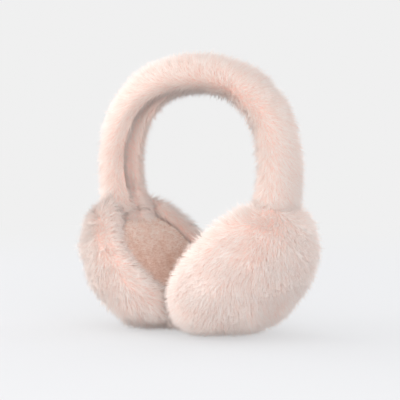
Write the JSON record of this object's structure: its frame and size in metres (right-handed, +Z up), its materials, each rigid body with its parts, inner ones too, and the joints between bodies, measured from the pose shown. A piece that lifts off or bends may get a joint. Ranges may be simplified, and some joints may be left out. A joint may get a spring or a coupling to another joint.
{
  "type": "fur earmuffs",
  "caption": "Plush fur earmuffs: a sprung arch headband in a fur sleeve, joined to domed fur ear cups with a rolled rim and a short-pile pad in the recess.",
  "frame": {"origin": "on the ground, midway between the cups, under the crown of the headband", "axes": "+X from ear to ear towards the wearer's right cup, +Y the way the wearer faces, +Z up"},
  "size_m": [0.193, 0.114, 0.2],
  "materials": {
    "fur": "dense soft plush pile, pale pink, matt",
    "pad_fabric": "short brushed pile, dusty beige pink, matt"
  },
  "bodies": {
    "root": {"headband": "fur", "ear_cup_right": "fur", "ear_cup_left": "fur", "ear_pad_right": "pad_fabric", "ear_pad_left": "pad_fabric"}
  },
  "joints": []
}
